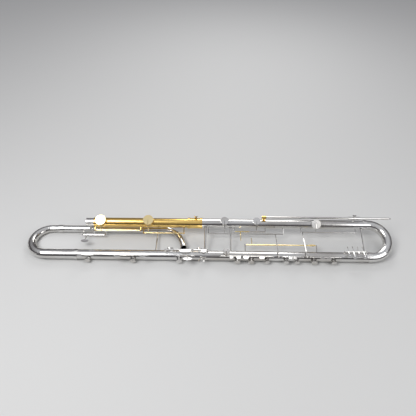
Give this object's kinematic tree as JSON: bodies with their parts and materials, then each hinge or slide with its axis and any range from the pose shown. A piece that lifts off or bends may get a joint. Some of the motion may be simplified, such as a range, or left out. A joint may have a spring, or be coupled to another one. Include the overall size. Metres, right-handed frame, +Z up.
{
  "type": "contrabass clarinet body",
  "caption": "Folded metal contrabass clarinet body with keywork, brass low extension and endpin, without bell, neck or mouthpiece.",
  "frame": {"origin": "middle of the footprint on the ground, under the tubes", "axes": "+X along the tubes towards the right bow and endpin tip, +Y from the front tube to the back tubes, +Z up"},
  "size_m": [1.1336, 0.1608, 0.088],
  "materials": {
    "front_tube": "polished",
    "middle_tube": "polished",
    "top_tube": "polished",
    "low_extension": "polished",
    "bell_tenon": "polished",
    "left_bow": "polished",
    "right_bow": "polished",
    "left_bow_front_ferrule": "polished",
    "left_bow_middle_ferrule": "polished",
    "right_bow_front_ferrule": "polished",
    "right_bow_top_ferrule": "polished",
    "neck_bend_ferrule": "polished",
    "neck_bend": "polished",
    "neck_receiver": "polished",
    "extension_clamp": "polished",
    "extension_wing_screw": "polished",
    "brace_left": "polished",
    "brace_middle": "polished",
    "brace_near_thumb": "polished",
    "brace_right": "polished",
    "strap_ring": "polished",
    "peg_bracket": "polished",
    "peg_sleeve": "polished",
    "peg_rod": "polished",
    "peg_thumbscrew": "polished",
    "throat_g_sharp_key": "polished",
    "throat_a_key": "polished",
    "left_index_key": "polished",
    "left_thumb_key": "polished",
    "left_middle_key": "polished",
    "right_index_key": "polished",
    "right_middle_key": "polished",
    "right_ring_key": "polished",
    "right_little_key": "polished",
    "f_sharp_trill_key": "polished",
    "low_g_sharp_key": "polished",
    "low_f_sharp_key": "polished",
    "low_f_key": "polished",
    "low_e_lever": "polished",
    "low_e_flat_lever": "polished",
    "low_d_lever": "polished",
    "low_c_sharp_lever": "polished",
    "register_key": "polished",
    "low_c_key": "polished",
    "low_d_key": "polished",
    "low_b_vent_key": "polished",
    "thumb_transfer_rod": "polished",
    "long_lever_rod": "polished",
    "low_e_flat_key": "polished",
    "thumb_lever": "polished"
  },
  "bodies": {
    "instrument": {"front_tube": "front_tube", "middle_tube": "middle_tube", "top_tube": "top_tube", "low_extension": "low_extension", "bell_tenon": "bell_tenon", "left_bow": "left_bow", "right_bow": "right_bow", "left_bow_front_ferrule": "left_bow_front_ferrule", "left_bow_middle_ferrule": "left_bow_middle_ferrule", "right_bow_front_ferrule": "right_bow_front_ferrule", "right_bow_top_ferrule": "right_bow_top_ferrule", "neck_bend_ferrule": "neck_bend_ferrule", "neck_bend": "neck_bend", "neck_receiver": "neck_receiver", "extension_clamp": "extension_clamp", "brace_left": "brace_left", "brace_middle": "brace_middle", "brace_near_thumb": "brace_near_thumb", "brace_right": "brace_right", "strap_ring": "strap_ring", "peg_bracket": "peg_bracket", "peg_sleeve": "peg_sleeve"},
    "throat_g_sharp_key": {"throat_g_sharp_key": "throat_g_sharp_key"},
    "throat_a_key": {"throat_a_key": "throat_a_key"},
    "left_middle_key": {"left_middle_key": "left_middle_key"},
    "right_middle_key": {"right_middle_key": "right_middle_key"},
    "right_ring_key": {"right_ring_key": "right_ring_key"},
    "right_little_key": {"right_little_key": "right_little_key"},
    "f_sharp_trill_key": {"f_sharp_trill_key": "f_sharp_trill_key"},
    "low_g_sharp_key": {"low_g_sharp_key": "low_g_sharp_key"},
    "low_f_sharp_key": {"low_f_sharp_key": "low_f_sharp_key"},
    "low_f_key": {"low_f_key": "low_f_key"},
    "right_index_key": {"right_index_key": "right_index_key"},
    "left_index_key": {"left_index_key": "left_index_key"},
    "left_thumb_key": {"left_thumb_key": "left_thumb_key"},
    "register_key": {"register_key": "register_key"},
    "low_b_vent_key": {"low_b_vent_key": "low_b_vent_key"},
    "long_lever_rod": {"long_lever_rod": "long_lever_rod"},
    "low_e_flat_key": {"low_e_flat_key": "low_e_flat_key"},
    "low_e_lever": {"low_e_lever": "low_e_lever"},
    "low_e_flat_lever": {"low_e_flat_lever": "low_e_flat_lever"},
    "low_d_lever": {"low_d_lever": "low_d_lever"},
    "low_c_sharp_lever": {"low_c_sharp_lever": "low_c_sharp_lever"},
    "thumb_lever": {"thumb_lever": "thumb_lever"},
    "low_c_key": {"low_c_key": "low_c_key"},
    "low_d_key": {"low_d_key": "low_d_key"},
    "thumb_transfer_rod": {"thumb_transfer_rod": "thumb_transfer_rod"},
    "extension_wing_screw": {"extension_wing_screw": "extension_wing_screw"},
    "peg_thumbscrew": {"peg_thumbscrew": "peg_thumbscrew"},
    "peg_rod": {"peg_rod": "peg_rod"}
  },
  "joints": [
    {"name": "throat_g_sharp_key_hinge", "type": "hinge", "parent": "instrument", "child": "throat_g_sharp_key", "pos_m": [-0.37233, -0.05891, 0.03139], "axis": [1, 0, 0], "range_deg": [0, 3.5], "stiffness_Nm_per_rad": 0.4, "springref_deg": -11.46},
    {"name": "throat_a_key_hinge", "type": "hinge", "parent": "instrument", "child": "throat_a_key", "pos_m": [-0.23433, -0.05891, 0.03139], "axis": [1, 0, 0], "range_deg": [0, 3.5], "stiffness_Nm_per_rad": 0.4, "springref_deg": -11.46},
    {"name": "left_middle_key_hinge", "type": "hinge", "parent": "instrument", "child": "left_middle_key", "pos_m": [-0.07183, -0.05891, 0.03139], "axis": [1, 0, 0], "range_deg": [0, 3.5], "stiffness_Nm_per_rad": 0.4, "springref_deg": -11.46},
    {"name": "right_middle_key_hinge", "type": "hinge", "parent": "instrument", "child": "right_middle_key", "pos_m": [0.08537, -0.05891, 0.03139], "axis": [1, 0, 0], "range_deg": [0, 3.5], "stiffness_Nm_per_rad": 0.4, "springref_deg": -11.46},
    {"name": "right_ring_key_hinge", "type": "hinge", "parent": "instrument", "child": "right_ring_key", "pos_m": [0.12567, -0.05891, 0.03139], "axis": [1, 0, 0], "range_deg": [0, 3.5], "stiffness_Nm_per_rad": 0.4, "springref_deg": -11.46},
    {"name": "right_little_key_hinge", "type": "hinge", "parent": "instrument", "child": "right_little_key", "pos_m": [0.16987, -0.05891, 0.03139], "axis": [1, 0, 0], "range_deg": [0, 3.5], "stiffness_Nm_per_rad": 0.4, "springref_deg": -11.46},
    {"name": "f_sharp_trill_key_hinge", "type": "hinge", "parent": "instrument", "child": "f_sharp_trill_key", "pos_m": [0.23647, -0.05891, 0.03139], "axis": [1, 0, 0], "range_deg": [0, 3.5], "stiffness_Nm_per_rad": 0.4, "springref_deg": -11.46},
    {"name": "low_g_sharp_key_hinge", "type": "hinge", "parent": "instrument", "child": "low_g_sharp_key", "pos_m": [0.26467, -0.05891, 0.03139], "axis": [1, 0, 0], "range_deg": [0, 3.5], "stiffness_Nm_per_rad": 0.4, "springref_deg": -11.46},
    {"name": "low_f_sharp_key_hinge", "type": "hinge", "parent": "instrument", "child": "low_f_sharp_key", "pos_m": [0.32767, -0.05891, 0.03139], "axis": [1, 0, 0], "range_deg": [0, 3.5], "stiffness_Nm_per_rad": 0.4, "springref_deg": -11.46},
    {"name": "low_f_key_hinge", "type": "hinge", "parent": "instrument", "child": "low_f_key", "pos_m": [0.36987, -0.05891, 0.03139], "axis": [1, 0, 0], "range_deg": [0, 3.5], "stiffness_Nm_per_rad": 0.4, "springref_deg": -11.46},
    {"name": "right_index_key_hinge", "type": "hinge", "parent": "instrument", "child": "right_index_key", "pos_m": [0.05517, -0.05891, 0.03139], "axis": [1, 0, 0], "range_deg": [0, 4], "stiffness_Nm_per_rad": 0.4, "springref_deg": -11.46},
    {"name": "left_index_key_hinge", "type": "hinge", "parent": "instrument", "child": "left_index_key", "pos_m": [-0.09083, -0.04031, 0.03709], "axis": [1, 0, 0], "range_deg": [0, 4], "stiffness_Nm_per_rad": 0.4, "springref_deg": -11.46},
    {"name": "left_thumb_key_hinge", "type": "hinge", "parent": "instrument", "child": "left_thumb_key", "pos_m": [-0.02683, -0.04031, 0.03709], "axis": [1, 0, 0], "range_deg": [0, 4], "stiffness_Nm_per_rad": 0.4, "springref_deg": -11.46},
    {"name": "register_key_hinge", "type": "hinge", "parent": "instrument", "child": "register_key", "pos_m": [-0.36633, 0.03909, 0.01439], "axis": [1, 0, 0], "range_deg": [0, 3], "stiffness_Nm_per_rad": 0.4, "springref_deg": -11.46},
    {"name": "low_b_vent_key_hinge", "type": "hinge", "parent": "instrument", "child": "low_b_vent_key", "pos_m": [0.14967, 0.04209, 0.03339], "axis": [1, 0, 0], "range_deg": [0, 2.5], "stiffness_Nm_per_rad": 0.4, "springref_deg": -11.46},
    {"name": "long_lever_rod_hinge", "type": "hinge", "parent": "instrument", "child": "long_lever_rod", "pos_m": [0.11567, 0.04059, 0.02439], "axis": [1, 0, 0], "range_deg": [0, 2], "stiffness_Nm_per_rad": 0.4, "springref_deg": -11.46},
    {"name": "low_e_flat_key_hinge", "type": "hinge", "parent": "instrument", "child": "low_e_flat_key", "pos_m": [0.37432, 0.04209, 0.03339], "axis": [1, 0, 0], "range_deg": [0, 2], "stiffness_Nm_per_rad": 0.4, "springref_deg": -11.46},
    {"name": "low_e_lever_hinge", "type": "hinge", "parent": "instrument", "child": "low_e_lever", "pos_m": [0.42152, -0.04031, 0.03709], "axis": [1, 0, 0], "range_deg": [0, 8], "stiffness_Nm_per_rad": 0.4, "springref_deg": -11.46},
    {"name": "low_e_flat_lever_hinge", "type": "hinge", "parent": "instrument", "child": "low_e_flat_lever", "pos_m": [0.43662, -0.04031, 0.03709], "axis": [1, 0, 0], "range_deg": [0, 8], "stiffness_Nm_per_rad": 0.4, "springref_deg": -11.46},
    {"name": "low_d_lever_hinge", "type": "hinge", "parent": "instrument", "child": "low_d_lever", "pos_m": [0.45172, -0.04031, 0.03709], "axis": [1, 0, 0], "range_deg": [0, 8], "stiffness_Nm_per_rad": 0.4, "springref_deg": -11.46},
    {"name": "low_c_sharp_lever_hinge", "type": "hinge", "parent": "instrument", "child": "low_c_sharp_lever", "pos_m": [0.46682, -0.04031, 0.03709], "axis": [1, 0, 0], "range_deg": [0, 8], "stiffness_Nm_per_rad": 0.4, "springref_deg": -11.46},
    {"name": "thumb_lever_hinge", "type": "hinge", "parent": "instrument", "child": "thumb_lever", "pos_m": [0.22067, -0.00991, 0.02939], "axis": [1, 0, 0], "range_deg": [0, 2], "stiffness_Nm_per_rad": 0.4, "springref_deg": -11.46},
    {"name": "low_c_key_hinge", "type": "hinge", "parent": "instrument", "child": "low_c_key", "pos_m": [-0.28783, 0.04209, 0.03339], "axis": [1, 0, 0], "range_deg": [-3.2, 0], "stiffness_Nm_per_rad": 0.4, "springref_deg": 11.46},
    {"name": "low_d_key_hinge", "type": "hinge", "parent": "instrument", "child": "low_d_key", "pos_m": [-0.14383, 0.04059, 0.02439], "axis": [1, 0, 0], "range_deg": [-3.2, 0], "stiffness_Nm_per_rad": 0.4, "springref_deg": 11.46},
    {"name": "thumb_transfer_rod_hinge", "type": "hinge", "parent": "instrument", "child": "thumb_transfer_rod", "pos_m": [0.10347, 0.04209, 0.03339], "axis": [1, 0, 0], "range_deg": [-2.2, 0], "stiffness_Nm_per_rad": 0.4, "springref_deg": 11.46},
    {"name": "extension_wing_screw_hinge", "type": "hinge", "parent": "instrument", "child": "extension_wing_screw", "pos_m": [-0.04183, 0.06633, 0.06265], "axis": [0, 0.2079, 0.9781], "range_deg": [-90, 90]},
    {"name": "peg_thumbscrew_hinge", "type": "hinge", "parent": "instrument", "child": "peg_thumbscrew", "pos_m": [0.45117, 0.06609, 0.07694], "axis": [0, 0, 1], "range_deg": [-90, 90]},
    {"name": "peg_rod_slide", "type": "slide", "parent": "instrument", "child": "peg_rod", "axis": [1, 0, 0], "range_m": [0, 0.24]}
  ]
}
